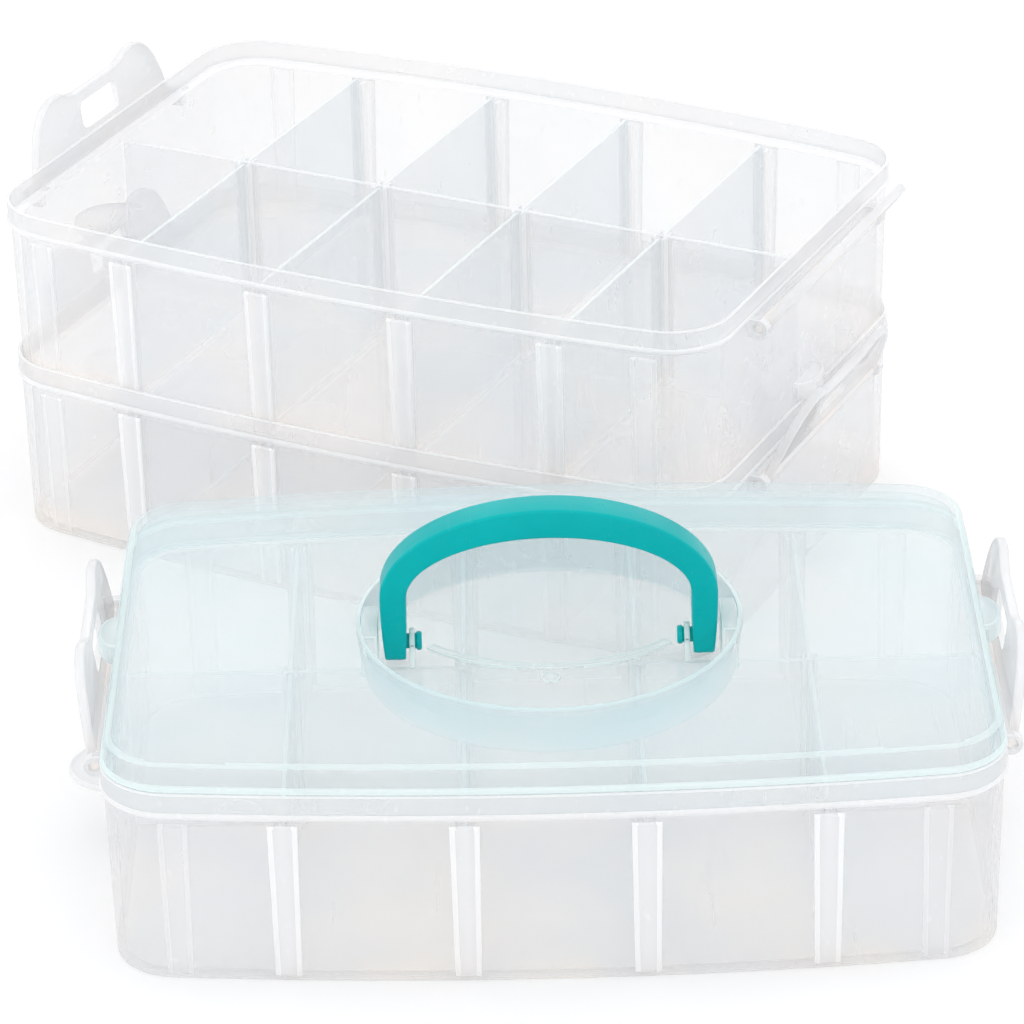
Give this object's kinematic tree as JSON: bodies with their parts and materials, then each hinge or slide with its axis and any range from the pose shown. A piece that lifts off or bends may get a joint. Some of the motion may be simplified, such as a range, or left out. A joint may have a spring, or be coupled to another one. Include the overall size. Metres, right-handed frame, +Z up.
{
  "type": "parts organizer",
  "caption": "Stackable clear plastic organizer boxes with removable dividers, side latches and a lid with a folding carry handle, standing as two short stacks.",
  "frame": {"origin": "middle of the footprint of both stacks, on the surface they stand on", "axes": "+X to the right along the front stack's long side, +Y away from the front, +Z up"},
  "size_m": [0.289, 0.4046, 0.1229],
  "materials": {
    "tray_plastic": "clear, faint blue-lilac tint, gloss",
    "latch_plastic": "clear, faint blue-lilac tint, gloss",
    "divider_plastic": "clear, faint blue tint, gloss",
    "lid_plastic": "clear, faint aqua tint, gloss",
    "handle_plastic": "opaque teal, satin"
  },
  "bodies": {
    "bottom_box": {"bottom_tray": "tray_plastic", "divider_bottom_front_1": "divider_plastic", "divider_bottom_front_2": "divider_plastic", "divider_bottom_front_3": "divider_plastic", "divider_bottom_front_4": "divider_plastic", "divider_bottom_back_1": "divider_plastic", "divider_bottom_back_2": "divider_plastic", "divider_bottom_back_3": "divider_plastic", "divider_bottom_back_4": "divider_plastic"},
    "middle_box": {"middle_tray": "tray_plastic"},
    "top_box": {"top_tray": "tray_plastic", "divider_top_front_1": "divider_plastic", "divider_top_front_2": "divider_plastic", "divider_top_front_3": "divider_plastic", "divider_top_front_4": "divider_plastic", "divider_top_back_1": "divider_plastic", "divider_top_back_2": "divider_plastic", "divider_top_back_3": "divider_plastic", "divider_top_back_4": "divider_plastic"},
    "lid": {"lid": "lid_plastic"},
    "handle": {"handle": "handle_plastic"},
    "latch_bottom_left": {"latch_bottom_left": "latch_plastic"},
    "latch_bottom_right": {"latch_bottom_right": "latch_plastic"},
    "latch_middle_left": {"latch_middle_left": "latch_plastic"},
    "latch_middle_right": {"latch_middle_right": "latch_plastic"},
    "latch_top_left": {"latch_top_left": "latch_plastic"},
    "latch_top_right": {"latch_top_right": "latch_plastic"},
    "divider_middle_front_1": {"divider_middle_front_1": "divider_plastic"},
    "divider_middle_front_2": {"divider_middle_front_2": "divider_plastic"},
    "divider_middle_front_3": {"divider_middle_front_3": "divider_plastic"},
    "divider_middle_front_4": {"divider_middle_front_4": "divider_plastic"},
    "divider_middle_back_1": {"divider_middle_back_1": "divider_plastic"},
    "divider_middle_back_2": {"divider_middle_back_2": "divider_plastic"},
    "divider_middle_back_3": {"divider_middle_back_3": "divider_plastic"},
    "divider_middle_back_4": {"divider_middle_back_4": "divider_plastic"}
  },
  "joints": [
    {"name": "middle_tray_lift", "type": "slide", "parent": "bottom_box", "child": "middle_box", "axis": [0, 0, 1], "range_m": [0, 0.08]},
    {"name": "top_tray_lift", "type": "slide", "parent": "bottom_box", "child": "top_box", "axis": [0, 0, 1], "range_m": [0, 0.1]},
    {"name": "lid_lift", "type": "slide", "parent": "top_box", "child": "lid", "axis": [0, 0, 1], "range_m": [0, 0.06]},
    {"name": "handle_fold", "type": "hinge", "parent": "lid", "child": "handle", "pos_m": [0.01696, -0.11934, 0.0587], "axis": [1, 0, 0], "range_deg": [-90, 90]},
    {"name": "latch_bottom_left_hinge", "type": "hinge", "parent": "bottom_box", "child": "latch_bottom_left", "pos_m": [-0.1184, 0.14019, 0.0476], "axis": [-0.4462, -0.8949, 0], "range_deg": [-7.5, 162.5]},
    {"name": "latch_bottom_right_hinge", "type": "hinge", "parent": "bottom_box", "child": "latch_bottom_right", "pos_m": [0.10032, 0.03114, 0.0476], "axis": [0.4462, 0.8949, 0], "range_deg": [-22, 148]},
    {"name": "latch_middle_left_hinge", "type": "hinge", "parent": "middle_box", "child": "latch_middle_left", "pos_m": [-0.1184, 0.14019, 0.0983], "axis": [-0.4462, -0.8949, 0], "range_deg": [-7.5, 162.5]},
    {"name": "latch_middle_right_hinge", "type": "hinge", "parent": "middle_box", "child": "latch_middle_right", "pos_m": [0.10032, 0.03114, 0.0983], "axis": [0.4462, 0.8949, 0], "range_deg": [-38, 132]},
    {"name": "latch_top_left_hinge", "type": "hinge", "parent": "top_box", "child": "latch_top_left", "pos_m": [-0.10524, -0.11934, 0.0476], "axis": [0, -1, 0], "range_deg": [-7.5, 162.5]},
    {"name": "latch_top_right_hinge", "type": "hinge", "parent": "top_box", "child": "latch_top_right", "pos_m": [0.13916, -0.11934, 0.0476], "axis": [0, 1, 0], "range_deg": [-7.5, 162.5]},
    {"name": "divider_middle_front_1_slide", "type": "slide", "parent": "middle_box", "child": "divider_middle_front_1", "axis": [0, 0, 1], "range_m": [0, 0.05]},
    {"name": "divider_middle_front_2_slide", "type": "slide", "parent": "middle_box", "child": "divider_middle_front_2", "axis": [0, 0, 1], "range_m": [0, 0.05]},
    {"name": "divider_middle_front_3_slide", "type": "slide", "parent": "middle_box", "child": "divider_middle_front_3", "axis": [0, 0, 1], "range_m": [0, 0.05]},
    {"name": "divider_middle_front_4_slide", "type": "slide", "parent": "middle_box", "child": "divider_middle_front_4", "axis": [0, 0, 1], "range_m": [0, 0.05]},
    {"name": "divider_middle_back_1_slide", "type": "slide", "parent": "middle_box", "child": "divider_middle_back_1", "axis": [0, 0, 1], "range_m": [0, 0.05]},
    {"name": "divider_middle_back_2_slide", "type": "slide", "parent": "middle_box", "child": "divider_middle_back_2", "axis": [0, 0, 1], "range_m": [0, 0.05]},
    {"name": "divider_middle_back_3_slide", "type": "slide", "parent": "middle_box", "child": "divider_middle_back_3", "axis": [0, 0, 1], "range_m": [0, 0.05]},
    {"name": "divider_middle_back_4_slide", "type": "slide", "parent": "middle_box", "child": "divider_middle_back_4", "axis": [0, 0, 1], "range_m": [0, 0.05]}
  ]
}
